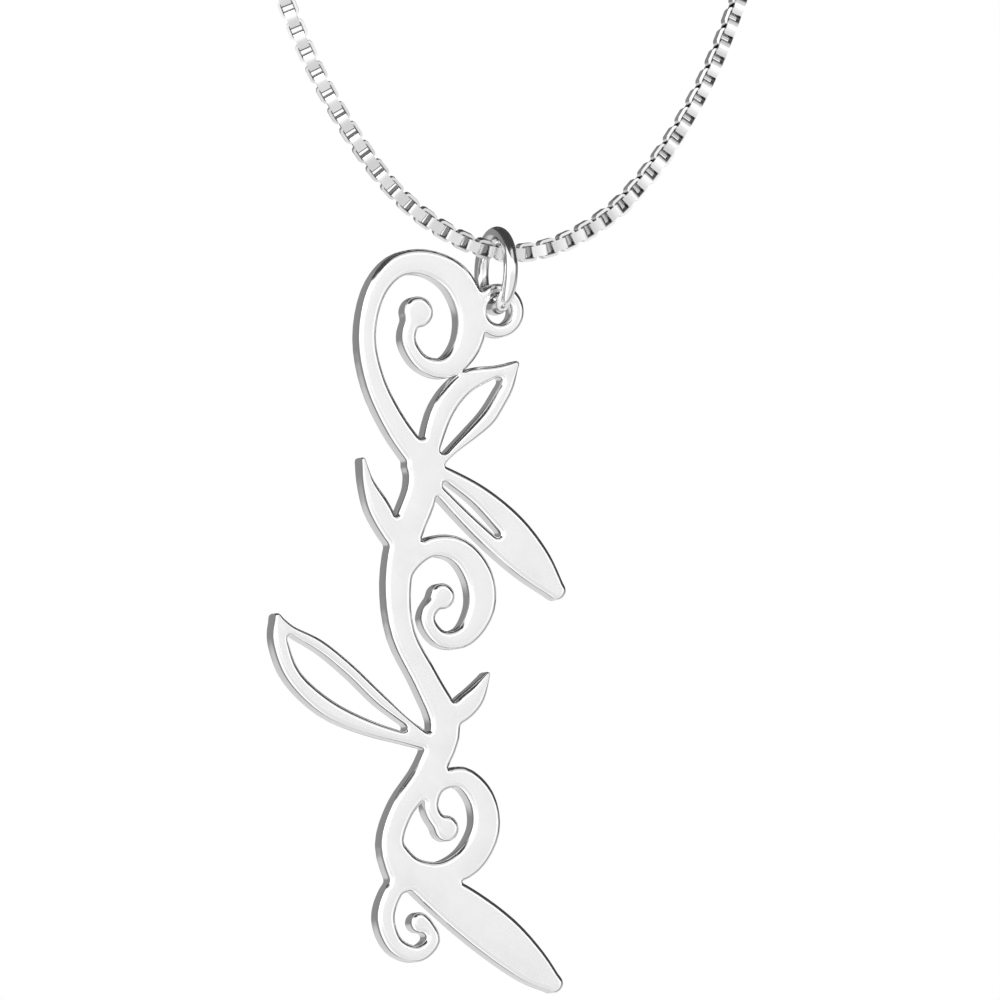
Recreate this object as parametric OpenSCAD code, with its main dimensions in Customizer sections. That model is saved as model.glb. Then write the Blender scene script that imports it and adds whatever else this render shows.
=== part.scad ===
// Nameplate necklace: a pierced scroll and leaf ornament of sheet silver that hangs from a jump ring
// on a fine box chain, in the form that it takes round a neck. Millimetres, +Z up, -Y the front,
// +X the wearer's left. The origin is the middle of the clasp at the nape.

/* [Ornament] */
// Height of the sheet ornament
plate_h = 41.5; // [36:0.5:48]
// Width of the sheet ornament
plate_w = 17.8; // [16:0.1:20]
// Thickness of the sheet that it is sawn from
plate_t = 1.2; // [0.9:0.1:1.5]
// Breadth of a full stroke of the pattern
stroke_w = 1.5; // [1.3:0.05:1.7]
// Metal that filing and polishing take off the sawn edges
polish = 0.02; // [0:0.01:0.05]

/* [Eyelet] */
// Hole in the sheet that the jump ring passes through
eye_hole_d = 1.5; // [1.4:0.05:1.8]
// Metal left round that hole
eye_rim = 0.78; // [0.6:0.02:1]

/* [Jump ring] */
// Outer diameter of the jump ring
ring_od = 5; // [4.6:0.1:5.6]
// Diameter of its round wire
ring_wire = 0.8; // [0.6:0.05:0.85]
// How far it hangs from the chain's lowest point, to the wearer's right
hang_aside = 0.9; // [0:0.1:1.5]

/* [Chain] */
// Breadth of the loop round the neck
loop_w = 112; // [100:1:124]
// Depth of the loop, from the nape to the front
loop_d = 114; // [102:1:126]
// Drop from the nape to the chain's lowest point
loop_h = 104; // [92:1:116]
// Breadth of the square section of the box chain
chain_w = 1; // [0.8:0.05:1.2]

/* [Clasp] */
// Outer diameter of the spring ring clasp
clasp_od = 6; // [5.5:0.1:7]
// Diameter of the clasp's tube
clasp_wire = 1.5; // [1.2:0.05:1.7]
// Outer diameter of the fixed eye on the clasp
clasp_eye_od = 2.2; // [2:0.05:2.6]
// Diameter of the eye's wire
clasp_eye_wire = 0.6; // [0.45:0.05:0.65]
// Diameter of the thumb lever's knob
lever_d = 0.8; // [0.6:0.05:1]
// Length that the knob stands out of the clasp
lever_l = 0.9; // [0.5:0.05:1.2]

/* [End rings] */
// Outer diameter of the soldered ring on the clasp's eye
clasp_ring_od = 3; // [2.8:0.05:3.6]
// Outer diameter of the soldered ring that the clasp closes on
catch_ring_od = 4; // [3.8:0.05:5]
// Diameter of the wire of both
end_wire = 0.5; // [0.4:0.02:0.55]

/* [Clearances] */
// Play between a ring and what hangs in it
slip = 0.09; // [0.06:0.01:0.12]

/* [Hidden] */
curve_steps = 4; // pieces of a stroke's edge between two rows of its table
tube_sides = 8;
tube_steps = 2; // rings of the chain's tube between two points of its route
bend_steps = 3; // the same in the tight bend at the front
bend_share = 0.91; // share of the drop at which that bend begins
lever_angle = 50; // place of the knob, from the clasp's right side towards its top
eye_sink = 0.25; // depth that the clasp's eye is soldered into its tube

// Route of the chain's centre line from the middle of the front to the nape, on the wearer's left,
// in rows of [aside, forward, down]: shares of half of loop_w, of loop_d and of loop_h.
CHAIN_ROUTE = [
    [0, 1, 1], [0.07, 1, 0.99], [0.14, 1, 0.961], [0.215, 1, 0.902], [0.285, 0.996, 0.813],
    [0.39, 0.982, 0.678], [0.535, 0.939, 0.519], [0.695, 0.864, 0.365], [0.84, 0.763, 0.245],
    [0.945, 0.632, 0.154], [1, 0.482, 0.087], [0.98, 0.325, 0.043], [0.86, 0.175, 0.019],
    [0.64, 0.07, 0.008], [0.39, 0.016, 0.002], [0.215, 0, 0]];

// Strokes of the ornament, in rows of [across, down, breadth]: shares of plate_w from its left
// edge, of plate_h from its top, and of stroke_w.
EYE = [0.77, 0.08];
VOLUTE = [
    [0.51, 0.287, 1.05], [0.424, 0.242, 0.95], [0.352, 0.185, 0.85], [0.321, 0.123, 0.75],
    [0.349, 0.063, 0.8], [0.421, 0.026, 0.9], [0.52, 0.0185, 1], [0.622, 0.038, 1.2],
    [0.677, 0.081, 1.25], [0.663, 0.128, 1.1], [0.595, 0.159, 0.85], [0.51, 0.154, 0.65],
    [0.462, 0.123, 0.6], [0.486, 0.089, 0.65]];
STEM = [
    [0.492, 0.271, 0.95], [0.51, 0.324, 1.25], [0.458, 0.385, 1.25], [0.427, 0.452, 1.1],
    [0.445, 0.52, 1], [0.527, 0.584, 1.05], [0.588, 0.641, 1.25], [0.537, 0.702, 1.15],
    [0.445, 0.753, 0.95], [0.407, 0.803, 0.95], [0.445, 0.849, 1.1]];
HIGH_LEAF = [
    [0.513, 0.32, 0.6], [0.554, 0.274, 1.25], [0.619, 0.231, 2.15], [0.698, 0.198, 2.3],
    [0.773, 0.175, 1.4], [0.828, 0.152, 0.3]];
LONG_LEAF = [
    [0.486, 0.293, 0.8], [0.581, 0.314, 1.2], [0.687, 0.345, 1.7], [0.797, 0.383, 1.85],
    [0.893, 0.422, 1.5], [0.968, 0.456, 0.75]];
SIDE_LEAF = [
    [0.465, 0.42, 0.45], [0.417, 0.39, 0.8], [0.363, 0.351, 0.9], [0.325, 0.317, 0.5],
    [0.308, 0.287, 0.2]];
HIGH_CURL = [
    [0.421, 0.471, 0.8], [0.458, 0.43, 0.75], [0.54, 0.402, 0.8], [0.636, 0.406, 1],
    [0.701, 0.439, 1.15], [0.711, 0.482, 1.1], [0.657, 0.52, 0.85], [0.575, 0.525, 0.65],
    [0.527, 0.498, 0.6], [0.564, 0.471, 0.65]];
TAIL_LEAF = [
    [0.581, 0.671, 0.5], [0.465, 0.653, 0.9], [0.349, 0.629, 1.65], [0.226, 0.598, 2.25],
    [0.116, 0.56, 2.1], [0.048, 0.528, 1.2], [0.021, 0.501, 0.3]];
BUD_LEAF = [
    [0.575, 0.644, 0.5], [0.64, 0.622, 0.9], [0.691, 0.601, 0.8], [0.732, 0.571, 0.2]];
LOW_CURL = [
    [0.414, 0.806, 0.8], [0.479, 0.833, 0.8], [0.575, 0.841, 0.95], [0.67, 0.822, 1.15],
    [0.725, 0.781, 1.15], [0.711, 0.738, 1.05], [0.643, 0.711, 0.85], [0.564, 0.722, 0.65],
    [0.54, 0.753, 0.6], [0.581, 0.779, 0.65]];
FOOT_LEAF = [
    [0.417, 0.825, 0.8], [0.534, 0.856, 1.35], [0.657, 0.89, 1.75], [0.78, 0.927, 1.8],
    [0.886, 0.963, 1.4], [0.958, 0.986, 0.75]];
FOOT_CURL = [
    [0.465, 0.841, 0.75], [0.41, 0.868, 0.75], [0.386, 0.903, 0.75], [0.421, 0.938, 0.7],
    [0.496, 0.949, 0.65], [0.547, 0.93, 0.6], [0.52, 0.907, 0.55]];
STROKES = [
    VOLUTE, STEM, HIGH_LEAF, LONG_LEAF, SIDE_LEAF, HIGH_CURL, TAIL_LEAF, BUD_LEAF, LOW_CURL,
    FOOT_LEAF, FOOT_CURL];
// Round buds at the ends of the curls, in the same columns
BUDS = [[0.496, 0.086, 1.2], [0.578, 0.468, 1], [0.592, 0.78, 1], [0.503, 0.907, 0.8]];
// Piercings along the leaves, in the same columns
SLOTS = [
    [[0.581, 0.271, 0.25], [0.64, 0.232, 0.75], [0.701, 0.202, 0.8], [0.769, 0.175, 0.25]],
    [[0.588, 0.318, 0.2], [0.674, 0.347, 0.35], [0.766, 0.382, 0.2]],
    [[0.445, 0.646, 0.25], [0.342, 0.625, 0.65], [0.233, 0.595, 1.1], [0.13, 0.561, 1.05],
     [0.065, 0.53, 0.25]]];

left_side = [for (row = CHAIN_ROUTE) [row.x * loop_w / 2, -row.y * loop_d, -row.z * loop_h]];

// The jump ring hangs on the chain's lowest point, and the plate on the jump ring's
hang = mirrored(curve_point(
    mirrored(left_side[1]), left_side[0], left_side[1], left_side[2], hang_aside / left_side[1].x));
ring_mid_r = (ring_od - ring_wire) / 2;
ring_in_r = ring_od / 2 - ring_wire;
ring_z = hang.z + chain_w / 2 + slip - ring_in_r;
// Height over which the wire curves up within the sheet's thickness
seat_drop = sqrt(ring_in_r * ring_in_r - plate_t * plate_t / 4);
eye_z = ring_z - seat_drop + slip - eye_hole_d / 2;

// The clasp's rings follow each other along X from the clasp's middle, each hooked in the last
clasp_mid_r = (clasp_od - clasp_wire) / 2;
catch_mid_r = (catch_ring_od - end_wire) / 2;
catch_x = clasp_mid_r - clasp_wire / 2 - slip - end_wire / 2 + catch_mid_r;
clasp_eye_mid_r = (clasp_eye_od - clasp_eye_wire) / 2;
clasp_eye_x = -clasp_od / 2 + eye_sink - clasp_eye_od / 2;
clasp_ring_mid_r = (clasp_ring_od - end_wire) / 2;
clasp_ring_x =
    clasp_eye_x - clasp_eye_mid_r + clasp_eye_wire / 2 + slip / 2 + end_wire / 2 - clasp_ring_mid_r;
chain_end_left = [catch_x + catch_ring_od / 2 + slip, 0, 0];
chain_end_right = [clasp_ring_x - clasp_ring_od / 2 - slip, 0, 0];

// Point at share t of the stretch from b to c of a smooth curve through a, b, c and d
function curve_point(a, b, c, d, t) = 0.5 * (
    2 * b + (c - a) * t + (2 * a - 5 * b + 4 * c - d) * t * t + (3 * b - a - 3 * c + d) * t * t * t);

// Points of a smooth curve on the stretch that starts at row i of a table
function stretch(rows, i, steps) = [for (s = [0:steps - 1]) curve_point(
    rows[max(i - 1, 0)], rows[i], rows[i + 1], rows[min(i + 2, len(rows) - 1)], s / steps)];

function mirrored(p) = [-p.x, p.y, p.z];

function unit(v) = v / norm(v);

// Direction of a line at its point i
function heading(line, i) = unit(line[min(i + 1, len(line) - 1)] - line[max(i - 1, 0)]);

// Row of a stroke's table in millimetres: across, up and half the breadth
function placed(row) = [row.x * plate_w, -row.y * plate_h, row.z * stroke_w / 2];

module dot(row) {
    spot = placed(row);
    translate([spot.x, spot.y]) circle(r = spot.z, $fn = 24);
}

// Stroke of changing breadth along a smooth line, with round ends
module stroke(rows) {
    nodes = [for (row = rows) placed(row)];
    line = [for (i = [0:len(nodes) - 2]) each stretch(nodes, i, curve_steps), nodes[len(nodes) - 1]];
    last = len(line) - 1;
    spine = [for (p = line) [p.x, p.y]];
    side = [for (i = [0:last]) let (d = heading(spine, i)) [-d.y, d.x] * line[i].z];
    polygon(concat(spine + side, [for (i = [last:-1:0]) spine[i] - side[i]]));
    dot(rows[0]);
    dot(rows[len(rows) - 1]);
}

module pattern() {
    difference() {
        union() {
            for (rows = STROKES) stroke(rows);
            for (bud = BUDS) dot(bud);
            translate([EYE.x * plate_w, -EYE.y * plate_h]) circle(d = eye_hole_d + 2 * eye_rim, $fn = 48);
        }
        for (rows = SLOTS) stroke(rows);
    }
}

// Round wire bent to a ring whose axis is Z
module wire_ring(mid_r, wire) {
    rotate_extrude($fn = 96) translate([mid_r, 0]) circle(d = wire, $fn = 32);
}

module nameplate() {
    color("gainsboro")
    translate([hang.x, hang.y, eye_z]) rotate([90, 0, 0]) difference() {
        linear_extrude(plate_t, center = true)
            translate([-EYE.x * plate_w, EYE.y * plate_h])
            offset(delta = -polish) pattern();
        cylinder(d = eye_hole_d, h = 2 * plate_t, center = true, $fn = 96);
    }
}

module jump_ring() {
    color("silver") translate([hang.x, hang.y, ring_z]) rotate([0, 90, 0]) wire_ring(ring_mid_r, ring_wire);
}

// Corner k of the tube's section at point i of its line: flats face the front and the neck
function tube_corner(line, i, k) = let (
    ahead = heading(line, i),
    out = unit(cross([0, 0, 1], ahead)),
    up = cross(ahead, out),
    turn = 360 * (k + 0.5) / tube_sides,
    r = chain_w / 2 / cos(180 / tube_sides))
    line[i] + r * (cos(turn) * out + sin(turn) * up);

module chain() {
    route = concat(
        [chain_end_right], [for (i = [len(left_side) - 1:-1:1]) mirrored(left_side[i])],
        left_side, [chain_end_left]);
    bend_z = -bend_share * loop_h;
    line = [
        for (i = [0:len(route) - 2])
            each stretch(route, i, min(route[i].z, route[i + 1].z) < bend_z ? bend_steps : tube_steps),
        chain_end_left];
    last = len(line) - 1;
    n = tube_sides;
    color("silver") polyhedron(
        [for (i = [0:last], k = [0:n - 1]) tube_corner(line, i, k)],
        concat(
            [[for (k = [0:n - 1]) k]],
            [for (i = [0:last - 1], k = [0:n - 1]) let (m = (k + 1) % n)
                [i * n + k, (i + 1) * n + k, (i + 1) * n + m, i * n + m]],
            [[for (k = [n - 1:-1:0]) last * n + k]]));
}

module clasp() {
    color("silver") rotate([90, 0, 0]) {
        wire_ring(clasp_mid_r, clasp_wire);
        translate([clasp_eye_x, 0, 0]) wire_ring(clasp_eye_mid_r, clasp_eye_wire);
        rotate([0, 0, lever_angle]) translate([clasp_mid_r, 0, -clasp_wire / 2 - lever_l])
            cylinder(d = lever_d, h = clasp_wire / 2 + lever_l, $fn = 32);
    }
}

module clasp_ring() {
    color("silver") translate([clasp_ring_x, 0, 0]) wire_ring(clasp_ring_mid_r, end_wire);
}

module catch_ring() {
    color("silver") translate([catch_x, 0, 0]) wire_ring(catch_mid_r, end_wire);
}

nameplate();
jump_ring();
chain();
clasp();
clasp_ring();
catch_ring();
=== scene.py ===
# %% [markdown]
# # Nameplate necklace
#
# The necklace hangs in the form that it takes round a neck: a box chain of real interlocking links,
# a jump ring on its lowest point, and a pierced sheet ornament on the ring. The CAD frame gives every
# size and place; this script gives the pieces their real surfaces.

# %% Load the frame
import math

import bmesh
import bpy
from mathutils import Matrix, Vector
from mathutils.geometry import delaunay_2d_cdt
from mathutils.kdtree import KDTree


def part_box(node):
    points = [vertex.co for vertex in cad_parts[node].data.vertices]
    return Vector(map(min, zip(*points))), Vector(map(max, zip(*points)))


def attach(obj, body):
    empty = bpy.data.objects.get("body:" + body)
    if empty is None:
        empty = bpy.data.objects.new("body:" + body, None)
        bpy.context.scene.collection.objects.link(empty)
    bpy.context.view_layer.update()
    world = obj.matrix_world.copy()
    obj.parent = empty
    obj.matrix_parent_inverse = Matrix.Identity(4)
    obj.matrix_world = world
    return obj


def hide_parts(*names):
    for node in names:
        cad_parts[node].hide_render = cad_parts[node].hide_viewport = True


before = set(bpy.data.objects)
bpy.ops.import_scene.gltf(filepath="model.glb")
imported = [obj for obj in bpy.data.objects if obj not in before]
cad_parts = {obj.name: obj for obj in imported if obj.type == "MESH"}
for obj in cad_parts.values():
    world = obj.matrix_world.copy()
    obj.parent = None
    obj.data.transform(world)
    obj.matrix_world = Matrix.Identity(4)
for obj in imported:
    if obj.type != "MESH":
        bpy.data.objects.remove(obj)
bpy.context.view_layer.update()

MM = 0.001

# %% [markdown]
# ## Camera
#
# The photograph is taken with a long lens from the wearer's right and slightly below, and it is 56 mm
# wide at the pendant. A camera could be placed by eye. Here two angles give its direction, and it aims
# at the point that the middle of the picture shows, which is worked out from the jump ring's place and
# the pixel where the photograph shows it. So a change of the angles keeps the ring where it is.


# %% Direction from two angles
def toward(azimuth, elevation):
    """Unit way to an azimuth, counted from the front round to the wearer's left, and an elevation."""
    return Vector((
        math.sin(azimuth) * math.cos(elevation), -math.cos(azimuth) * math.cos(elevation),
        math.sin(elevation)))


AZIMUTH = math.radians(-23)
ELEVATION = math.radians(-4)
to_camera = toward(AZIMUTH, ELEVATION)
picture_right = Vector((math.cos(AZIMUTH), math.sin(AZIMUTH), 0))
picture_up = to_camera.cross(picture_right)
print("way to the camera:", [round(v, 3) for v in to_camera])

# %% Point in the middle of the picture
PICTURE = 1000  # pixels across
FRAME_WIDTH = 56 * MM
RING_PIXEL = (496, 271)  # across and down

ring_low, ring_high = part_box("jump_ring")
ring_centre = (ring_low + ring_high) / 2
pixel = FRAME_WIDTH / PICTURE
aim = (
    ring_centre + picture_right * (PICTURE / 2 - RING_PIXEL[0]) * pixel
    - picture_up * (PICTURE / 2 - RING_PIXEL[1]) * pixel)
print("aim in mm:", [round(v / MM, 1) for v in aim])


# %% Camera
def put_in_scene(name, data):
    """New object of a camera, light, curve or mesh, in the scene and at its origin."""
    obj = bpy.data.objects.new(name, data)
    bpy.context.scene.collection.objects.link(obj)
    return obj


DISTANCE = 0.7  # metres
SEEN_FROM, SEEN_TO = 0.01, 20  # metres from the camera

camera = put_in_scene("camera", bpy.data.cameras.new("camera"))
camera.data.lens = camera.data.sensor_width * DISTANCE / FRAME_WIDTH
camera.data.clip_start, camera.data.clip_end = SEEN_FROM, SEEN_TO
camera.location = aim + to_camera * DISTANCE
camera.rotation_euler = (-to_camera).to_track_quat("-Z", "Y").to_euler()
bpy.context.scene.camera = camera
print("lens in mm:", round(camera.data.lens))

# %% [markdown]
# ## Light
#
# Polished silver has no colour of its own: it shows the room. The photograph's room is a white light
# tent with grey cards at the left and the right and a dark one overhead, which draw the dark lines along
# the rims, the ring and the links. Cards could be set up as planes, but other views would show them. So
# the world itself is the tent: its brightness depends on the direction only, and the camera sees it as
# plain white.
#
# Hex colours are what a screen shows (sRGB), while Blender's sockets expect linear light, so one
# function converts them. A second function adds a node, sets it and links it, and every tree below is
# written with it.


# %% Hex colour to linear light
def linear(hex_colour):
    """Linear RGBA of an sRGB hex colour."""
    channels = [int(hex_colour[i:i + 2], 16) / 255 for i in (1, 3, 5)]
    return [c / 12.92 if c <= 0.04045 else ((c + 0.055) / 1.055) ** 2.4 for c in channels] + [1]


print("middle grey #808080 as linear light:", round(linear("#808080")[0], 3))

# %% Node with its settings and links
FACTOR, COLOUR_A, COLOUR_B, MIXED = 0, 6, 7, 2  # sockets of a Mix node for colours, MIXED its output


def add(tree, kind, inputs=None, **settings):
    """Add a node: settings are its properties, inputs its sockets' values or the sockets they link from."""
    node = tree.nodes.new(kind)
    for name, value in settings.items():
        setattr(node, name, value)
    for socket, value in (inputs or {}).items():
        if isinstance(value, bpy.types.NodeSocket):
            tree.links.new(value, node.inputs[socket])
        else:
            node.inputs[socket].default_value = value
    return node


world = bpy.data.worlds.new("light_tent")
bpy.context.scene.world = world
world.use_nodes = True
room_nodes = world.node_tree
room_nodes.nodes.clear()
direction = add(room_nodes, "ShaderNodeTexCoord").outputs["Generated"]
print("world:", world.name, "with", len(room_nodes.nodes), "node that gives the direction")

# %% [markdown]
# ### Walls of the tent
#
# The brightness round the necklace is a table of azimuths for what lies above eye level and another for
# what lies below it. Each becomes the stops of a Color Ramp, which the azimuth of the direction reads.
# White in front lights the plate's faces, and the greys behind are what its side walls reflect. Stops
# can't pass 1, so the ramps hold shares of the brightest value and the world's strength gives it back.

# %% Azimuth as a share of the full turn
axes = add(room_nodes, "ShaderNodeSeparateXYZ", {0: direction})
front = add(room_nodes, "ShaderNodeMath", {0: axes.outputs["Y"], 1: -1.0}, operation="MULTIPLY")
around = add(room_nodes, "ShaderNodeMath", {
    0: axes.outputs["X"], 1: front.outputs[0]}, operation="ARCTAN2")
share = add(room_nodes, "ShaderNodeMapRange", {
    "Value": around.outputs[0], "From Min": -math.pi, "From Max": math.pi})
print("azimuth as a share of the turn:", len(room_nodes.nodes), "nodes")

# %% Ramps of brightness round the necklace
TENT = {  # degrees round from the front to the wearer's left, brightness
    "above": [
        (-180, 0.28), (-152, 0.27), (-144, 0.25), (-88, 0.25), (-76, 1.3), (-20, 1.3), (0, 1.1),
        (12, 1.05), (34, 1.05), (46, 1.15), (56, 1.2), (66, 0.35), (100, 0.15), (150, 0.18), (180, 0.28)],
    "below": [
        (-180, 0.68), (-152, 0.62), (-144, 0.25), (-88, 0.25), (-76, 1.2), (-34, 1.2), (-22, 0.88),
        (0, 0.84), (34, 0.88), (56, 0.9), (66, 0.35), (90, 0.35), (110, 0.85), (150, 0.8), (180, 0.68)]}
TENT_PEAK = 1.4  # more than every value of the tables

wall = {}
for height, table in TENT.items():
    ramp = add(room_nodes, "ShaderNodeValToRGB", {0: share.outputs[0]})
    stops = ramp.color_ramp.elements
    stops.remove(stops[-1])
    for number, (degrees, brightness) in enumerate(table):
        place = (degrees + 180) / 360
        stop = stops[0] if number == 0 else stops.new(place)
        stop.position = place
        stop.color = [brightness / TENT_PEAK] * 3 + [1]
    wall[height] = ramp.outputs[0]
    print(height, "eye level:", len(stops), "stops, brightest", max(brightness for _, brightness in table))

# %% Below eye level
BELOW_FROM, BELOW_TO = 0.02, -0.22  # sine of the elevation over which the lower row takes over

lowness = add(room_nodes, "ShaderNodeMapRange", {
    "Value": axes.outputs["Z"], "From Min": BELOW_FROM, "From Max": BELOW_TO},
    interpolation_type="SMOOTHSTEP")
walls = add(room_nodes, "ShaderNodeMix", {
    FACTOR: lowness.outputs[0], COLOUR_A: wall["above"], COLOUR_B: wall["below"]}, data_type="RGBA")
print("the lower row alone holds below", round(math.degrees(math.asin(BELOW_TO)), 1), "degrees")

# %% [markdown]
# ### Dark card overhead
#
# The dark line along the upper right of every stroke is the rim's round reflecting something dark above
# the necklace. A direction is covered by that card when it lies near the card's middle, which a dot
# product measures. The middle leans toward the wearer's left, where the rims reflect it. Leaning to the
# back, the card would turn the walls that face the upper left black, and in the photograph they are grey.

# %% Dark card overhead
OVERHEAD = 0.055  # brightness
OVERHEAD_AZIMUTH, OVERHEAD_ELEVATION = math.radians(90), math.radians(73)  # its middle
OVERHEAD_FROM, OVERHEAD_TO = 0.39, 0.5  # cosine of the angle from its middle over which it begins

nearness = add(room_nodes, "ShaderNodeVectorMath", {
    0: direction, 1: toward(OVERHEAD_AZIMUTH, OVERHEAD_ELEVATION)}, operation="DOT_PRODUCT")
covered = add(room_nodes, "ShaderNodeMapRange", {
    "Value": nearness.outputs["Value"], "From Min": OVERHEAD_FROM, "From Max": OVERHEAD_TO},
    interpolation_type="SMOOTHSTEP")
tent = add(room_nodes, "ShaderNodeMix", {
    FACTOR: covered.outputs[0], COLOUR_A: walls.outputs[MIXED],
    COLOUR_B: [OVERHEAD / TENT_PEAK] * 3 + [1]}, data_type="RGBA")
print("card's radius in degrees:", round(math.degrees(math.acos(OVERHEAD_TO)), 1))

# %% White for the camera, the tent for the metal
seen = add(room_nodes, "ShaderNodeBackground", {"Color": linear("#ffffff"), "Strength": 1.0})
reflected = add(room_nodes, "ShaderNodeBackground", {
    "Color": tent.outputs[MIXED], "Strength": TENT_PEAK})
pick = add(room_nodes, "ShaderNodeMixShader", {
    0: add(room_nodes, "ShaderNodeLightPath").outputs["Is Camera Ray"],
    1: reflected.outputs[0], 2: seen.outputs[0]})
add(room_nodes, "ShaderNodeOutputWorld", {"Surface": pick.outputs[0]})
print("tent:", len(room_nodes.nodes), "nodes, darkest", OVERHEAD)

# %% [markdown]
# ### Softboxes
#
# Two weak area lights stand inside the tent, in front of the necklace. They lift the satin faces and
# put small bright spots on the round wire, which the tent alone would leave flat. The camera doesn't
# see them.

# %% Softboxes and view
SOFTBOXES = [  # name, place in metres, breadth in metres, watts
    ("front_light", (0.37, -1.1, 0.52), 0.9, 1.7), ("left_light", (-0.9, -0.9, 0.35), 0.4, 1.6)]
for name, place, breadth, watts in SOFTBOXES:
    light = bpy.data.lights.new(name, "AREA")
    light.energy, light.size = watts, breadth
    softbox = put_in_scene(name, light)
    softbox.location = place
    softbox.rotation_euler = (aim - softbox.location).to_track_quat("-Z", "Y").to_euler()
    softbox.visible_camera = False
    print(name, "in metres from the pendant:", round((aim - softbox.location).length, 2))
bpy.context.scene.view_settings.view_transform = "Standard"

# %% [markdown]
# ## Floor
#
# The necklace hangs from the nape, so nothing stands on the floor. It is a plain pale sheet far below
# the pendant that the other views see. The metal doesn't reflect it: its horizon would cut every
# polished edge in two, and in the photograph they show the tent from top to bottom. A light of its own
# from straight above, which the metal doesn't reflect either, keeps it pale out to its horizon.

# %% Light for the floor
FLOOR_LIGHT = 3.0  # watts on each square metre
FLOOR_LIGHT_SOFTNESS = math.radians(60)

light = bpy.data.lights.new("floor_light", "SUN")
light.energy, light.angle = FLOOR_LIGHT, FLOOR_LIGHT_SOFTNESS
floor_light = put_in_scene("floor_light", light)
floor_light.visible_glossy = False
print("floor light:", light.energy, "watts on each square metre")

# %% Floor
FLOOR_Z = -0.45  # metres, low enough that a view from slightly below, as in the photograph, is above it
FLOOR_RADIUS = 3.0
FLOOR_SIDES = 96

floor_mesh = bpy.data.meshes.new("studio_floor")
shape = bmesh.new()
bmesh.ops.create_circle(shape, cap_ends=True, radius=FLOOR_RADIUS, segments=FLOOR_SIDES)
bmesh.ops.translate(shape, verts=shape.verts, vec=(0, 0, FLOOR_Z))
shape.to_mesh(floor_mesh)
shape.free()
floor = put_in_scene("studio_floor", floor_mesh)
floor.visible_glossy = False

# %% Matt paper
# White and uncoated, so it has no gloss.
PAPER_ROUGHNESS = 0.9

paper = bpy.data.materials.new("matt_white_paper")
paper.use_nodes = True
shader = paper.node_tree.nodes["Principled BSDF"]
shader.inputs["Base Color"].default_value = linear("#ececec")
shader.inputs["Roughness"].default_value = PAPER_ROUGHNESS
floor_mesh.materials.append(paper)
print("floor's finish:", paper.name)

# %% [markdown]
# ## Silver finishes
#
# Sterling silver is 92.5 % silver and 7.5 % copper, a metal that reflects nearly all light with hardly
# any tint. What the eye reads is the finish. All finishes here are metallic shaders that differ in
# roughness and in the small relief that the work left. Each pattern's scale is given in millimetres on
# the piece's Object coordinates, so it keeps its size on every piece. Pictures of scratches could be
# wrapped round the pieces, but at this size noise does as well and leaves no seams.


# %% Metal that all finishes share
def silver(name, hex_colour):
    """New metallic material, its tree, its shader and its Object coordinates in metres."""
    material = bpy.data.materials.new(name)
    material.use_nodes = True
    nodes = material.node_tree
    shader = nodes.nodes["Principled BSDF"]
    shader.inputs["Metallic"].default_value = 1
    shader.inputs["Base Color"].default_value = linear(hex_colour)
    place = add(nodes, "ShaderNodeTexCoord").outputs["Object"]
    return material, nodes, shader, place


NOISE_LOW, NOISE_HIGH = 0.3, 0.7  # nearly all values of a noise texture lie between these
print("a noise texture is read from", NOISE_LOW, "to", NOISE_HIGH)

# %% [markdown]
# ### Satin sheet silver
#
# The sheet's flat faces are rubbed with fine abrasive paper and tumbled, so the eye sees an even pale
# grey with faint clouds where the paper pressed a little more or less. The real scratches are finer
# than the grain drawn here, but finer ones wouldn't show.

# %% Satin: clouds
CLOUD_MM = 2.2
SATIN_SMOOTH, SATIN_ROUGH = 0.38, 0.46  # roughness

satin, nodes, shader, place = silver("satin_sterling_sheet", "#f8f8f8")
cloud = add(nodes, "ShaderNodeTexNoise", {
    "Vector": place, "Scale": 1 / (CLOUD_MM * MM), "Detail": 4.0, "Distortion": 0.6})
lightness = add(nodes, "ShaderNodeMapRange", {
    "Value": cloud.outputs[0], "From Min": NOISE_LOW, "From Max": NOISE_HIGH})
tone = add(nodes, "ShaderNodeMix", {
    FACTOR: lightness.outputs[0], COLOUR_A: linear("#ececec"), COLOUR_B: linear("#f7f7f7")},
    data_type="RGBA")
nodes.links.new(tone.outputs[MIXED], shader.inputs["Base Color"])
roughness = add(nodes, "ShaderNodeMapRange", {
    "Value": lightness.outputs[0], "To Min": SATIN_SMOOTH, "To Max": SATIN_ROUGH})
nodes.links.new(roughness.outputs[0], shader.inputs["Roughness"])
print(satin.name, "clouds in mm:", CLOUD_MM)

# %% Satin: grain
GRAIN_MM = 0.09
GRAIN_STRENGTH = 0.13
GRAIN_DEPTH = 0.004 * MM

grain = add(nodes, "ShaderNodeTexNoise", {"Vector": place, "Scale": 1 / (GRAIN_MM * MM), "Detail": 3.0})
relief = add(nodes, "ShaderNodeBump", {
    "Strength": GRAIN_STRENGTH, "Distance": GRAIN_DEPTH, "Height": grain.outputs[0]})
nodes.links.new(relief.outputs[0], shader.inputs["Normal"])
print(satin.name, "grain in mm:", GRAIN_MM)

# %% [markdown]
# ### Mop polished silver
#
# Edges, rings and clasp are held by hand against a polishing mop, which leaves nearly a mirror that is
# a little wavy where the mop pressed. The hairlines are drawn coarser than the mop's real ones, which
# wouldn't show.

# %% Polish: hairlines and waves
HAIRLINE_MM = 0.12
MIRROR, DULLED = 0.1, 0.17  # roughness
WAVE_MM = 0.8
WAVE_STRENGTH = 0.5
WAVE_DEPTH = 0.02 * MM

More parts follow.
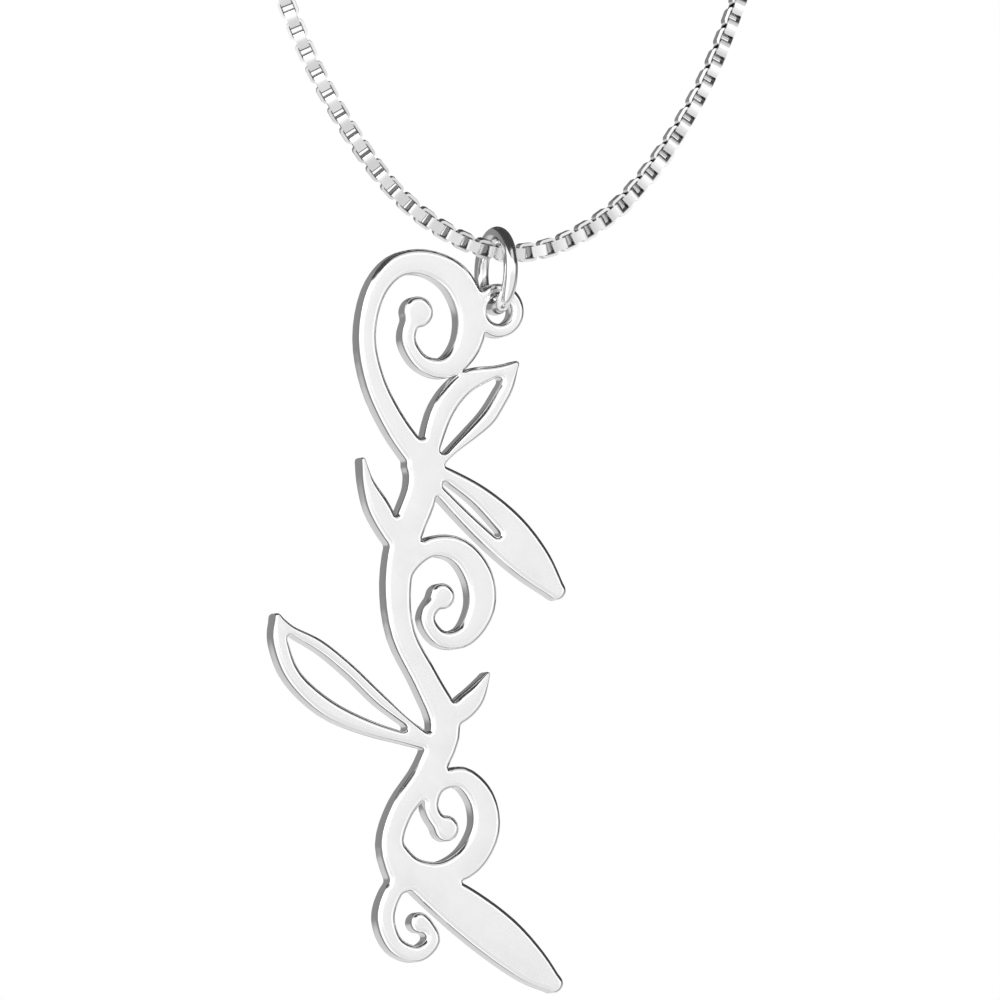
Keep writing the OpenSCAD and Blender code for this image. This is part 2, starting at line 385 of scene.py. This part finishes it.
polished, nodes, shader, place = silver("mop_polished_sterling", "#f6f6f6")
hairline = add(nodes, "ShaderNodeTexNoise", {
    "Vector": place, "Scale": 1 / (HAIRLINE_MM * MM), "Detail": 2.0})
roughness = add(nodes, "ShaderNodeMapRange", {
    "Value": hairline.outputs[0], "From Min": NOISE_LOW, "From Max": NOISE_HIGH,
    "To Min": MIRROR, "To Max": DULLED})
nodes.links.new(roughness.outputs[0], shader.inputs["Roughness"])
wave = add(nodes, "ShaderNodeTexNoise", {"Vector": place, "Scale": 1 / (WAVE_MM * MM), "Detail": 1.0})
relief = add(nodes, "ShaderNodeBump", {
    "Strength": WAVE_STRENGTH, "Distance": WAVE_DEPTH, "Height": wave.outputs[0]})
nodes.links.new(relief.outputs[0], shader.inputs["Normal"])
print(polished.name, "waves and hairlines in mm:", WAVE_MM, HAIRLINE_MM)

# %% [markdown]
# ### Tumbled strip silver
#
# The chain is drawn strip, folded to links and tumbled bright, each link a little lighter or duller
# than the next. Its inner faces are painted dark, a painted shade that stands in for the shadow that
# falls between the links, so the gaps between the links read as fine black lines. Both come from
# attributes that the links' mesh carries. A texture couldn't tell one link from the next, nor an inner
# face from an outer one.

# %% Tumbled: a tone for each link, and painted shade inside
TONE_ATTRIBUTE = "link_tone"
INNER_ATTRIBUTE = "inner_face"
INNER_SHADE_FROM, INNER_SHADE_TO = 0.6, 0.9  # the mark is 1 inside, 0 outside, and blends between them

tumbled, nodes, shader, place = silver("tumbled_sterling_strip", "#efefef")
link_tone = add(nodes, "ShaderNodeAttribute", attribute_name=TONE_ATTRIBUTE)
tone = add(nodes, "ShaderNodeMix", {
    FACTOR: link_tone.outputs["Fac"], COLOUR_A: linear("#e2e2e2"), COLOUR_B: linear("#f4f4f4")},
    data_type="RGBA")
inner_face = add(nodes, "ShaderNodeAttribute", attribute_name=INNER_ATTRIBUTE)
inner_shade = add(nodes, "ShaderNodeMapRange", {
    "Value": inner_face.outputs["Fac"], "From Min": INNER_SHADE_FROM, "From Max": INNER_SHADE_TO})
# Painted shade: the inner faces are darkened toward #4c4b4a, which stands in for the shadow between the
# links.
painted_shade = add(nodes, "ShaderNodeMix", {
    FACTOR: inner_shade.outputs[0], COLOUR_A: tone.outputs[MIXED], COLOUR_B: linear("#4c4b4a")},
    data_type="RGBA")
nodes.links.new(painted_shade.outputs[MIXED], shader.inputs["Base Color"])
print(tumbled.name, "reads:", link_tone.attribute_name, "and", inner_face.attribute_name)

# %% Tumbled: scuffs
SCUFF_MM = 0.2
BRIGHT, SCUFFED = 0.14, 0.26  # roughness

scuff = add(nodes, "ShaderNodeTexNoise", {"Vector": place, "Scale": 1 / (SCUFF_MM * MM), "Detail": 2.0})
roughness = add(nodes, "ShaderNodeMapRange", {
    "Value": scuff.outputs[0], "From Min": NOISE_LOW, "From Max": NOISE_HIGH,
    "To Min": BRIGHT, "To Max": SCUFFED})
nodes.links.new(roughness.outputs[0], shader.inputs["Roughness"])
print(tumbled.name, "scuffs in mm:", SCUFF_MM)

# %% [markdown]
# ## Sheet ornament
#
# The plate is sawn from 1.2 mm sheet, its edges are filed, and a polishing mop rounds the rims and the
# saw's corners. The frame's solid has the exact outline with sharp edges. A Bevel modifier could round
# them, but it stumbles where strokes cross and leave very short edges. So the outline is read from the
# solid's front face, spaced evenly and eased a little, and the plate is built from it again: from the
# flat's edge round the rim, down the wall, and round the other rim. The narrow round catches the white
# lines along the left of every stroke. The flats keep the satin finish, and the rest is polished.

# %% Outlines of the solid's front face
WELD = 0.001 * MM
FRONT_FACING = -0.999  # y of the unit normal


def outlines(node):
    """Closed outlines of a plate's front face as lists of (x, z), with the metal at their left."""
    shape = bmesh.new()
    shape.from_mesh(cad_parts[node].data)
    bmesh.ops.remove_doubles(shape, verts=shape.verts, dist=WELD)
    shape.normal_update()
    # A dictionary keeps the faces in order, so every run gives the same result.
    front = dict.fromkeys(face for face in shape.faces if face.normal.y < FRONT_FACING)
    follows = {}
    for face in front:
        for loop in face.loops:
            if not all(other in front for other in loop.edge.link_faces):
                follows[loop.vert] = loop.link_loop_next.vert
    loops = []
    while follows:
        vert = next(iter(follows))
        loop = []
        while vert in follows:
            loop.append(Vector((vert.co.x, vert.co.z)))
            vert = follows.pop(vert)
        loops.append(loop)
    shape.free()
    return loops


sawn = outlines("nameplate")
print("sawn outlines:", len(sawn), "with points:", [len(loop) for loop in sawn])

# %% Points at even steps
OUTLINE_STEP = 0.13 * MM
FEWEST_POINTS = 12


def evenly(loop, step):
    """The same outline with points about one step apart."""
    sides = list(zip(loop, loop[1:] + loop[:1]))
    lengths = [(q - p).length for p, q in sides]
    count = max(FEWEST_POINTS, round(sum(lengths) / step))
    spacing = sum(lengths) / count
    points, done, side = [], 0.0, 0
    for k in range(count):
        while done + lengths[side] < k * spacing and side < len(sides) - 1:
            done += lengths[side]
            side += 1
        p, q = sides[side]
        points.append(p.lerp(q, min(1, (k * spacing - done) / max(lengths[side], WELD))))
    return points


stepped = [evenly(loop, OUTLINE_STEP) for loop in sawn]
print("points at even steps:", [len(loop) for loop in stepped])

# %% Corners eased by the mop
EASE_ROUNDS = 4
SMOOTH, UNSHRINK = 0.5, -0.52  # share of the way to the middle of a point's neighbours


def with_neighbours(loop):
    """Each point of an outline between the one before it and the one after it."""
    return zip(loop[-1:] + loop[:-1], loop, loop[1:] + loop[:1])


def eased(loop, rounds):
    """Outline with its corners eased: each round smooths it and then undoes the shrinking."""
    for _ in range(rounds):
        for strength in (SMOOTH, UNSHRINK):
            loop = [p + ((a + b) / 2 - p) * strength for a, p, b in with_neighbours(loop)]
    return loop


loops = [eased(loop, EASE_ROUNDS) for loop in stepped]
loops.sort(key=len, reverse=True)
print("points of the outer outline:", len(loops[0]), "of the holes:", [len(hole) for hole in loops[1:]])

# %% [markdown]
# ### Rolled rims
#
# The round is 0.3 mm broad where the metal has room for it. At the strokes' tips and in narrow necks a
# round of full breadth would meet the one from the other side. Blender's inset has one breadth for the
# whole outline. So each point of the outline gets a breadth of its own, from the largest circle that
# fits in the metal and touches the outline there.


# %% Way into the metal
def inward(loop):
    """For each point of an outline the unit way into the metal."""
    ways = []
    for a, p, b in with_neighbours(loop):
        along = ((p - a).normalized() + (b - p).normalized()).normalized()
        ways.append(Vector((-along.y, along.x)))
    return ways


ways_in = [inward(loop) for loop in loops]
print("at", [round(v / MM, 1) for v in loops[0][0]], "mm the metal lies toward",
      [round(v, 2) for v in ways_in[0][0]])

# %% Room for the round
RIM_INSET = 0.3 * MM  # breadth of the round seen from the front
RIM_ROOM = 0.75  # share of the metal's half breadth that the round may take
LEVEL = 1e-9  # metres: a point that is less deep lies on the tangent, and no circle touches it

outline_points = KDTree(sum(len(loop) for loop in loops))
for number, point in enumerate(p for loop in loops for p in loop):
    outline_points.insert(point.to_3d(), number)
outline_points.balance()


def room(point, way):
    """Radius of the largest circle in the metal that touches the outline at this point."""
    radius = RIM_INSET / RIM_ROOM
    for other, _, distance in outline_points.find_range(point.to_3d(), 2 * radius):
        depth = (other.xy - point).dot(way)
        if depth > LEVEL:
            radius = min(radius, distance ** 2 / (2 * depth))
    return radius


rooms = [[room(p, way) for p, way in zip(loop, ways)] for loop, ways in zip(loops, ways_in)]
print("least room beside each outline in mm:", [round(min(radii) / MM, 3) for radii in rooms])

# %% Breadth of the round at each point
TIP_REACH = 3  # points on either side of a tip or neck over which the round narrows


def narrowed(ways, radii):
    """The ways into the metal, with a length of 1 where the whole round fits and less at tips and necks."""
    count = len(ways)
    near = range(-TIP_REACH, TIP_REACH + 1)
    free = [RIM_ROOM * radius / RIM_INSET for radius in radii]
    least = [min(free[(k + j) % count] for j in near) for k in range(count)]
    return [way * sum(least[(k + j) % count] for j in near) / len(near) for k, way in enumerate(ways)]


rim_ways = [narrowed(ways, radii) for ways, radii in zip(ways_in, rooms)]
breadths = [way.length * RIM_INSET / MM for ways in rim_ways for way in ways]
print("breadth of the round in mm, from", round(min(breadths), 3), "to", round(max(breadths), 3))

# %% [markdown]
# ### Plate from its outline
#
# One profile, swept along every outline, makes the rims and the walls. The flats between the outlines
# have holes, which a single polygon can't have, so a constrained Delaunay triangulation fills them. It
# also fills the holes, and those triangles are left out.

# %% Profile of rim, wall and rim
RIM_DEPTH = 0.23 * MM  # of the round, seen from the side
RIM_STEPS = 5

plate_low, plate_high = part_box("nameplate")
quarter = [math.radians(90) * k / RIM_STEPS for k in range(RIM_STEPS + 1)]
front_rim = [(RIM_INSET * (1 - math.sin(t)), plate_low.y + RIM_DEPTH * (1 - math.cos(t))) for t in quarter]
back_rim = [(inset, plate_low.y + plate_high.y - y) for inset, y in reversed(front_rim)]
profile = front_rim + back_rim
print("profile in mm, inset and y:", [(round(inset / MM, 2), round(y / MM, 2)) for inset, y in profile])

# %% Rims and walls
SATIN_SLOT, POLISHED_SLOT = 0, 1

shape = bmesh.new()
front_edges, back_edges = [], []
for loop, ways in zip(loops, rim_ways):
    rows = [
        [shape.verts.new((p.x + w.x * inset, y, p.y + w.y * inset)) for p, w in zip(loop, ways)]
        for inset, y in profile]
    for one, two in zip(rows, rows[1:]):
        for k in range(len(loop)):
            shape.faces.new((one[k - 1], two[k - 1], two[k], one[k])).material_index = POLISHED_SLOT
    front_edges.append(rows[0])
    back_edges.append(rows[-1])
print("rims and walls:", len(shape.faces), "faces")

# %% Triangles of the flats
WITHOUT_SURROUNDINGS = 1  # the triangulation's output mode that leaves out what is round the outline
SAME_POINT = 1e-9  # metres

flat_loops = [[Vector((v.co.x, v.co.z)) for v in edge] for edge in front_edges]
flat_points = [point for loop in flat_loops for point in loop]
flat_sides = []
for loop in flat_loops:
    start = len(flat_sides)
    flat_sides += [(start + k, start + (k + 1) % len(loop)) for k in range(len(loop))]
_, _, triangles, sources, _, _ = delaunay_2d_cdt(
    flat_points, flat_sides, [], WITHOUT_SURROUNDINGS, SAME_POINT)
print("triangles with those in the holes:", len(triangles))


# %% Flats without their holes
def inside(point, loop):
    """Whether a point lies within an outline."""
    crossings = 0
    for p, q in zip(loop, loop[1:] + loop[:1]):
        if (p.y > point.y) != (q.y > point.y):
            crossings += point.x < p.x + (q.x - p.x) * (point.y - p.y) / (q.y - p.y)
    return crossings % 2 == 1


front_verts = [vert for edge in front_edges for vert in edge]
back_verts = [vert for edge in back_edges for vert in edge]
for triangle in triangles:
    corners = [sources[k][0] for k in triangle]
    middle = sum((flat_points[k] for k in corners), Vector((0, 0))) / 3
    if not any(inside(middle, hole) for hole in flat_loops[1:]):
        shape.faces.new([front_verts[k] for k in corners]).material_index = SATIN_SLOT
        shape.faces.new([back_verts[k] for k in reversed(corners)]).material_index = SATIN_SLOT
bmesh.ops.recalc_face_normals(shape, faces=shape.faces)
print("plate:", len(shape.faces), "faces,", sum(len(e.link_faces) != 2 for e in shape.edges), "open edges,",
      "volume in cubic mm:", round(shape.calc_volume() / MM ** 3, 1))

# %% [markdown]
# ### Even flats
#
# The round has to shade smoothly into the flat, while the flat itself must look dead even. Smooth
# shading alone would bend the light near the rims, so a Weighted Normal modifier gives the large faces
# nearly all the say.

# %% Plate in the scene
LARGE_FACES_FIRST = 80  # of 100


def keep_flats_even(piece, name, keep_sharp=False):
    """Shade a smooth piece so that its large faces look flat."""
    weighted = piece.modifiers.new(name, "WEIGHTED_NORMAL")
    weighted.mode, weighted.weight, weighted.keep_sharp = "FACE_AREA", LARGE_FACES_FIRST, keep_sharp


for face in shape.faces:
    face.smooth = True
plate_mesh = bpy.data.meshes.new("sheet_ornament")
shape.to_mesh(plate_mesh)
shape.free()
plate_mesh.materials.append(satin)
plate_mesh.materials.append(polished)
plate = put_in_scene("sheet_ornament", plate_mesh)
keep_flats_even(plate, "flats_stay_flat")
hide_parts("nameplate")
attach(plate, "plate")
print("plate's height in mm:", round(plate.dimensions.z / MM, 2))

# %% [markdown]
# ## Rings
#
# The jump ring is round wire bent to a circle, and its two cut ends meet in a fine line, which is
# turned to the back where the wire rides on the chain. The rings at the clasp are soldered shut.
# Blender's torus could make the closed ones, but not the open one, so one sweep of a circle along an
# arc makes all three, with enough sides for clean reflections.

# %% Round wire along an arc
WIRE_SIDES = 32
RING_STEPS = 128


def wire_arc(name, centre, mid_radius, wire, across, upward, start=0.0, sweep=math.tau):
    """Round wire along an arc in the plane of across and upward: closed if sweep is a full turn."""
    closed = math.isclose(sweep, math.tau)
    axis = across.cross(upward)
    shape = bmesh.new()
    circles = []
    for step in range(RING_STEPS if closed else RING_STEPS + 1):
        angle = start + sweep * step / RING_STEPS
        out = across * math.cos(angle) + upward * math.sin(angle)
        circles.append([
            shape.verts.new(
                centre + out * (mid_radius + wire / 2 * math.cos(t)) + axis * wire / 2 * math.sin(t))
            for t in (math.tau * k / WIRE_SIDES for k in range(WIRE_SIDES))])
    for one, two in zip(circles, circles[1:] + circles[:1] if closed else circles[1:]):
        for k in range(WIRE_SIDES):
            m = (k + 1) % WIRE_SIDES
            shape.faces.new((one[k], two[k], two[m], one[m]))
    if not closed:
        shape.faces.new(circles[0])
        shape.faces.new(list(reversed(circles[-1])))
    bmesh.ops.recalc_face_normals(shape, faces=shape.faces)
    for face in shape.faces:
        face.smooth = len(face.verts) == 4
    mesh = bpy.data.meshes.new(name)
    shape.to_mesh(mesh)
    shape.free()
    mesh.materials.append(polished)
    return put_in_scene(name, mesh)


print("faces of a closed ring:", WIRE_SIDES * RING_STEPS)

# %% Jump ring
X, Y, Z = Vector((1, 0, 0)), Vector((0, 1, 0)), Vector((0, 0, 1))
SLIT = 0.04 * MM
SLIT_AT = math.radians(60)  # up from the back

ring_wire = ring_high.x - ring_low.x
ring_mid = (ring_high.z - ring_low.z - ring_wire) / 2
slit_angle = SLIT / ring_mid
jump_ring = wire_arc(
    "round_wire_jump_ring", ring_centre, ring_mid, ring_wire, Y, Z, SLIT_AT, math.tau - slit_angle)
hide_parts("jump_ring")
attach(jump_ring, "ring")
print("jump ring, wire in mm:", round(ring_wire / MM, 3), "centre circle:", round(2 * ring_mid / MM, 3))

# %% Soldered rings at the clasp
end_rings = {}
for node in ("clasp_ring", "catch_ring"):
    low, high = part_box(node)
    wire = high.z - low.z
    mid = (high.x - low.x - wire) / 2
    end_rings[node] = (low, high, wire)
    ring = wire_arc("soldered_" + node, (low + high) / 2, mid, wire, X, Y)
    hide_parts(node)
    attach(ring, "chain")
    print(node, "wire in mm:", round(wire / MM, 3), "centre circle:", round(2 * mid / MM, 3))

# %% [markdown]
# ## Clasp
#
# The spring ring clasp closes the necklace at the nape: a ring of wire with a thumb lever and a fixed
# eye. It could be swept again like the rings, but the frame's own solid already has its forms in facets
# fine enough for a piece of this size, so it only gets the polish.

# %% Clasp finish
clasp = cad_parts["clasp"]
clasp.data.materials.clear()
clasp.data.materials.append(polished)
print("clasp:", len(clasp.data.polygons), "faces of the frame in", polished.name)

# %% [markdown]
# ## Box chain
#
# A box, or Venetian, chain is made of short strips folded to square links. Each link holds the two
# beside it, turned a quarter round, so the chain reads as a square cord with dark notches. About 690
# links repeat along one path, which is a task for Geometry Nodes: one link is drawn as a filleted
# square with a strip for its section, and it is set on evenly spaced points of the chain's curve, every
# other one turned by 90 degrees. The spacing is the link's opening, so the links touch as they do when
# a pendant pulls them taut. The end links wrap the wires of the two soldered rings.

# %% Sizes of one link
LINK_LENGTH, LINK_BREADTH = 1.07 * MM, 1.04 * MM  # outside
STRIP_THICK = 0.21 * MM
STRIP_WIDE = 0.61 * MM
FOLD_RADIUS = 0.15 * MM  # at the middle of the strip
FOLD_POINTS = 2

opening = LINK_LENGTH - 2 * STRIP_THICK
print("opening of a link in mm:", round(opening / MM, 3))


# %% Places of the end links
def end_place(node, side):
    """Middle of the end link: its opening holds the ring's wire at that side."""
    low, high, wire = end_rings[node]
    wire_x = high.x - wire / 2 if side > 0 else low.x + wire / 2
    return Vector((wire_x + side * (opening - wire) / 2, 0, 0))


left_end, right_end = end_place("clasp_ring", -1), end_place("catch_ring", 1)
print("end links at x in mm:", round(left_end.x / MM, 2), round(right_end.x / MM, 2))

# %% Route round the neck
LOOP_WIDTH, LOOP_DEPTH, LOOP_DROP = 112 * MM, 114 * MM, 104 * MM
ROUTE = [  # aside, forward, down: shares of half the loop's width, of its depth and of its drop
    (0, 1, 1), (0.07, 1, 0.99), (0.14, 1, 0.961), (0.215, 1, 0.902), (0.285, 0.996, 0.813),
    (0.39, 0.982, 0.678), (0.535, 0.939, 0.519), (0.695, 0.864, 0.365), (0.84, 0.763, 0.245),
    (0.945, 0.632, 0.154), (1, 0.482, 0.087), (0.98, 0.325, 0.043), (0.86, 0.175, 0.019),
    (0.64, 0.07, 0.008), (0.39, 0.016, 0.002), (0.215, 0, 0)]

left_side = [
    Vector((x * LOOP_WIDTH / 2, -y * LOOP_DEPTH, -z * LOOP_DROP)) for x, y, z in ROUTE]
right_side = [Vector((-p.x, p.y, p.z)) for p in left_side[:0:-1]]
route = [left_end] + right_side + left_side + [right_end]
print("route:", len(route), "points from the clasp to its catch")

# %% Smooth path along the route
SMOOTH_STEPS = 16


def curve_point(a, b, c, d, t):
    """Point of a Catmull-Rom curve between b and c, at a share t of the way."""
    return 0.5 * (
        2 * b + (c - a) * t + (2 * a - 5 * b + 4 * c - d) * t ** 2 + (3 * b - a - 3 * c + d) * t ** 3)


path = []
for i in range(len(route) - 1):
    a, b, c, d = route[max(i - 1, 0)], route[i], route[i + 1], route[min(i + 2, len(route) - 1)]
    path += [curve_point(a, b, c, d, step / SMOOTH_STEPS) for step in range(SMOOTH_STEPS)]
path.append(route[-1])
length = sum((q - p).length for p, q in zip(path, path[1:]))
print("chain length in mm:", round(length / MM, 1))

# %% Number of links
pairs_of_links = round(length / (2 * opening))
link_count = 2 * pairs_of_links + 1  # odd, so that both end links stand the same way
print("links:", link_count, "pitch in mm:", round(length / (link_count - 1) / MM, 4))

# %% [markdown]
# ### Twist of the chain
#
# A worn chain is never without twist, and the photograph shows it. On its left strand two sides of the
# links are seen, turned by about 20 degrees, and the right strand turns back past the pendant until its
# flat sides face the camera with narrow dark bars between them. The tilt of a curve's points can hold
# that, so a table gives it along the path.

# %% Twist along the path
TWIST = [  # share of the path's points, degrees
    (0, 0), (0.1, 20), (0.485, 20), (0.515, 4), (0.55, 2), (0.575, -2), (0.612, -8), (0.9, -8), (1, 0)]


def twist_at(share):
    """Twist of the chain in degrees at a share of its path, eased between the rows of the table."""
    for (start, low), (end, high) in zip(TWIST, TWIST[1:]):
        if share <= end:
            t = (share - start) / (end - start)
            return low + (high - low) * t * t * (3 - 2 * t)
    return TWIST[-1][1]


curve = bpy.data.curves.new("chain_path", "CURVE")
curve.dimensions = "3D"
spline = curve.splines.new("POLY")
spline.points.add(len(path) - 1)
for number, (point, place) in enumerate(zip(spline.points, path)):
    point.co = (*place, 1)
    point.tilt = math.radians(twist_at(number / (len(path) - 1)))
chain = put_in_scene("chain_path", curve)
print("twist in degrees from the left of the pendant to its right:",
      [round(twist_at(part), 1) for part in (0.45, 0.5, 0.55, 0.6)])

# %% [markdown]
# ### Links by Geometry Nodes
#
# The tree has a named input for every size, so another chain needs no change inside it. It draws one
# link, marks the inner side of its strip, which the metal darkens as painted shade, sets it on the path,
# and gives each link a tone of its own from a fixed seed. An Array with a Curve modifier could lay a row
# of links along the path too, but it would bend every link with the path.

# %% Tree and its named inputs
SEED = 7
LINK_INPUTS = {  # kind of socket, value
    "Link length": ("Float", LINK_LENGTH), "Link breadth": ("Float", LINK_BREADTH),
    "Strip width": ("Float", STRIP_WIDE), "Strip thickness": ("Float", STRIP_THICK),
    "Fold radius": ("Float", FOLD_RADIUS), "Fold points": ("Int", FOLD_POINTS),
    "Links": ("Int", link_count), "Seed": ("Int", SEED), "Metal": ("Material", tumbled)}

tree = bpy.data.node_groups.new("box_chain", "GeometryNodeTree")
for end in ("INPUT", "OUTPUT"):
    tree.interface.new_socket("Geometry", in_out=end, socket_type="NodeSocketGeometry")
for name, (kind, value) in LINK_INPUTS.items():
    tree.interface.new_socket(name, in_out="INPUT", socket_type="NodeSocket" + kind)
sizes = add(tree, "NodeGroupInput").outputs
print("inputs of the tree:", [socket.name for socket in sizes if socket.name])

# %% One folded link
long, broad = (
    add(tree, "ShaderNodeMath", {0: sizes[side], 1: sizes["Strip thickness"]}, operation="SUBTRACT")
    for side in ("Link length", "Link breadth"))
square = add(tree, "GeometryNodeCurvePrimitiveQuadrilateral", {
    "Width": long.outputs[0], "Height": broad.outputs[0]})
folded = add(tree, "GeometryNodeFilletCurve", {
    "Curve": square.outputs[0], "Count": sizes["Fold points"], "Radius": sizes["Fold radius"]},
    mode="POLY")
section = add(tree, "GeometryNodeCurvePrimitiveQuadrilateral", {
    "Width": sizes["Strip thickness"], "Height": sizes["Strip width"]})
across = add(tree, "ShaderNodeSeparateXYZ", {0: add(tree, "GeometryNodeInputPosition").outputs[0]})
# Inner side of the strip, which gets the painted shade that stands in for the shadow between the links.
inner = add(tree, "ShaderNodeMath", {0: across.outputs["X"], 1: 0.0}, operation="LESS_THAN")
marked = add(tree, "GeometryNodeStoreNamedAttribute", {
    "Geometry": section.outputs[0], "Name": INNER_ATTRIBUTE, "Value": inner.outputs[0]},
    data_type="FLOAT", domain="POINT")
link = add(tree, "GeometryNodeCurveToMesh", {
    "Curve": folded.outputs[0], "Profile Curve": marked.outputs[0]})
print("one link takes", len(tree.nodes), "nodes")

# %% Points on the path
route_with_twist = add(tree, "GeometryNodeCaptureAttribute", {
    "Geometry": sizes["Geometry"]}, domain="POINT")
route_with_twist.capture_items.new("FLOAT", "Twist")
tree.links.new(add(tree, "GeometryNodeInputCurveTilt").outputs[0], route_with_twist.inputs["Twist"])
spots = add(tree, "GeometryNodeCurveToPoints", {
    "Curve": route_with_twist.outputs["Geometry"], "Count": sizes["Links"]}, mode="COUNT")
print("points on the path:", link_count)

# %% Turn of each link
# Along the path and upright, then a quarter turn more than the link before it, and the path's twist.
facing = add(tree, "FunctionNodeAxesToRotation", {
    "Primary Axis": spots.outputs["Tangent"], "Secondary Axis": (0, 0, 1)},
    primary_axis="X", secondary_axis="Z")
quarters = add(tree, "ShaderNodeMath", {
    0: add(tree, "GeometryNodeInputIndex").outputs[0], 1: math.pi / 2, 2: math.pi / 2},
    operation="MULTIPLY_ADD")
angle = add(tree, "ShaderNodeMath", {
    0: quarters.outputs[0], 1: route_with_twist.outputs["Twist"]}, operation="ADD")
turn = add(tree, "FunctionNodeAxisAngleToRotation", {"Axis": (1, 0, 0), "Angle": angle.outputs[0]})
turned = add(tree, "FunctionNodeRotateRotation", {
    "Rotation": facing.outputs[0], "Rotate By": turn.outputs[0]}, rotation_space="LOCAL")
string = add(tree, "GeometryNodeInstanceOnPoints", {
    "Points": spots.outputs["Points"], "Instance": link.outputs[0], "Rotation": turned.outputs[0]})
print("nodes up to the string of links:", len(tree.nodes))

# %% Tone, real mesh and metal
chance = add(tree, "FunctionNodeRandomValue", {"Seed": sizes["Seed"]}, data_type="FLOAT")
toned = add(tree, "GeometryNodeStoreNamedAttribute", {
    "Geometry": string.outputs[0], "Name": TONE_ATTRIBUTE, "Value": chance.outputs[1]},
    data_type="FLOAT", domain="INSTANCE")
real = add(tree, "GeometryNodeRealizeInstances", {"Geometry": toned.outputs[0]})
metal = add(tree, "GeometryNodeSetMaterial", {
    "Geometry": real.outputs[0], "Material": sizes["Metal"]})
add(tree, "NodeGroupOutput", {"Geometry": metal.outputs[0]})
print("tree:", tree.name, "with", len(tree.nodes), "nodes and", len(tree.links), "links")

# %% Plain mesh of the links
modifier = chain.modifiers.new("box_chain_links", "NODES")
modifier.node_group = tree
for item in tree.interface.items_tree:
    if item.in_out == "INPUT" and item.name in LINK_INPUTS:
        modifier[item.identifier] = LINK_INPUTS[item.name][1]
evaluated = chain.evaluated_get(bpy.context.evaluated_depsgraph_get())
mesh = bpy.data.meshes.new_from_object(evaluated)
mesh.name = "box_chain_links"
mesh.materials.clear()
mesh.materials.append(tumbled)
bpy.data.objects.remove(chain)
mesh.calc_loop_triangles()
print("links:", len(mesh.polygons), "faces,", len(mesh.loop_triangles), "triangles")

# %% Links in the scene
SMOOTH_FOLD = math.radians(40)  # sharper edges than this stay sharp

for polygon in mesh.polygons:
    polygon.use_smooth = True
mesh.set_sharp_from_angle(angle=SMOOTH_FOLD)
links = put_in_scene("box_chain_links", mesh)
keep_flats_even(links, "plates_stay_flat", keep_sharp=True)
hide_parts("chain")
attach(links, "chain")
print("chain's breadth, depth and height in mm:", [round(v / MM, 1) for v in links.dimensions])
